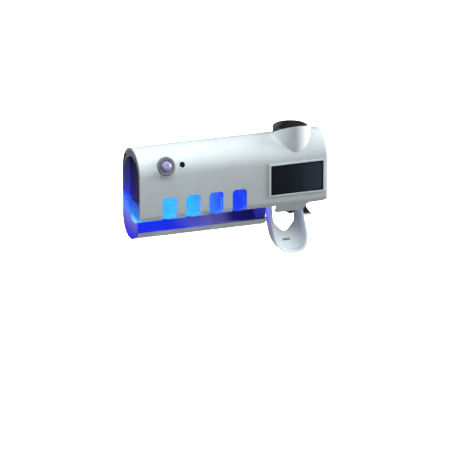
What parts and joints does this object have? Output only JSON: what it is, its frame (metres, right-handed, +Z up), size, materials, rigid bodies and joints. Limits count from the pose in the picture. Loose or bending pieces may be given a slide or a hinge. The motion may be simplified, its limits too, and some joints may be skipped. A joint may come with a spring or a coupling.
{
  "type": "wall-mounted toothbrush sanitizer",
  "caption": "Wall-hung toothbrush sanitizer: UV brush chamber with neck notches and a drip gutter, solar panel, motion sensor, and a lever toothpaste pump under an upright tube collar.",
  "frame": {"origin": "centre of the adhesive pad, on its wall face", "axes": "+X along the wall to the right as seen from the front, +Y into the wall, +Z up"},
  "size_m": [0.2105, 0.0566, 0.1393],
  "materials": {
    "abs_white": "semi-gloss",
    "abs_inner": "satin",
    "abs_grey": "satin",
    "foam_tape": "matte",
    "violet_window": "gloss",
    "tray_plastic": "gloss",
    "reflector": "polished",
    "lamp_glass": "clear",
    "board_green": "satin",
    "black_plastic": "satin",
    "black_gloss": "gloss",
    "black_rubber": "matte",
    "battery_wrap": "gloss",
    "wire_red": "satin",
    "wire_white": "satin",
    "wire_black": "satin",
    "bezel_grey": "semi-gloss",
    "lens_lavender": "satin",
    "solar_black": "gloss",
    "silicone": "satin",
    "steel": "satin"
  },
  "bodies": {
    "mount": {"wall_bracket": "abs_white", "adhesive_pad": "foam_tape"},
    "housing": {"rear_housing": "abs_white", "front_shell": "abs_white", "left_end_cap": "abs_grey", "left_window": "violet_window", "end_cap_screw": "steel", "case_screws": "steel", "chassis": "abs_inner", "lamp_reflector": "reflector", "uv_lamp": "lamp_glass", "lamp_holders": "abs_inner", "control_board": "board_green", "board_parts": "black_plastic", "battery": "battery_wrap", "battery_leads": "wire_red", "lamp_leads": "wire_white", "solar_leads": "wire_black", "sensor_bezel": "bezel_grey", "sensor_lens": "lens_lavender", "motion_sensor": "steel", "sensor_board": "board_green", "light_sensor": "black_gloss", "solar_frame": "abs_white", "solar_panel": "solar_black", "charge_port": "steel", "tube_seat": "black_rubber", "pump_body": "black_plastic", "inlet_valve": "silicone", "outlet_valve": "silicone", "return_spring": "steel", "pump_screws": "steel", "lever_bracket": "black_plastic", "bracket_screws": "steel", "lever_pin": "steel", "pin_clips": "steel"},
    "lever": {"push_lever": "abs_white"},
    "piston": {"pump_piston": "abs_inner", "piston_seal": "black_rubber"},
    "tray": {"brush_tray": "tray_plastic"}
  },
  "joints": [
    {"name": "housing_lift", "type": "slide", "parent": "mount", "child": "housing", "axis": [0, 0, 1], "range_m": [0, 0.0072]},
    {"name": "lever_pivot", "type": "hinge", "parent": "housing", "child": "lever", "pos_m": [0.0686, -0.017, -0.04], "axis": [1, 0, 0], "range_deg": [0, 18], "stiffness_Nm_per_rad": 0.12, "springref_deg": -17.19},
    {"name": "piston_slide", "type": "slide", "parent": "housing", "child": "piston", "axis": [0, -1, 0], "range_m": [0, 0.007], "deforming": ["return_spring"]},
    {"name": "tray_slide", "type": "slide", "parent": "housing", "child": "tray", "axis": [-1, 0, 0], "range_m": [0, 0.105]}
  ],
  "couplings": [
    {"joint": "piston_slide", "follows": "lever_pivot", "m_per_rad": 0.021}
  ]
}
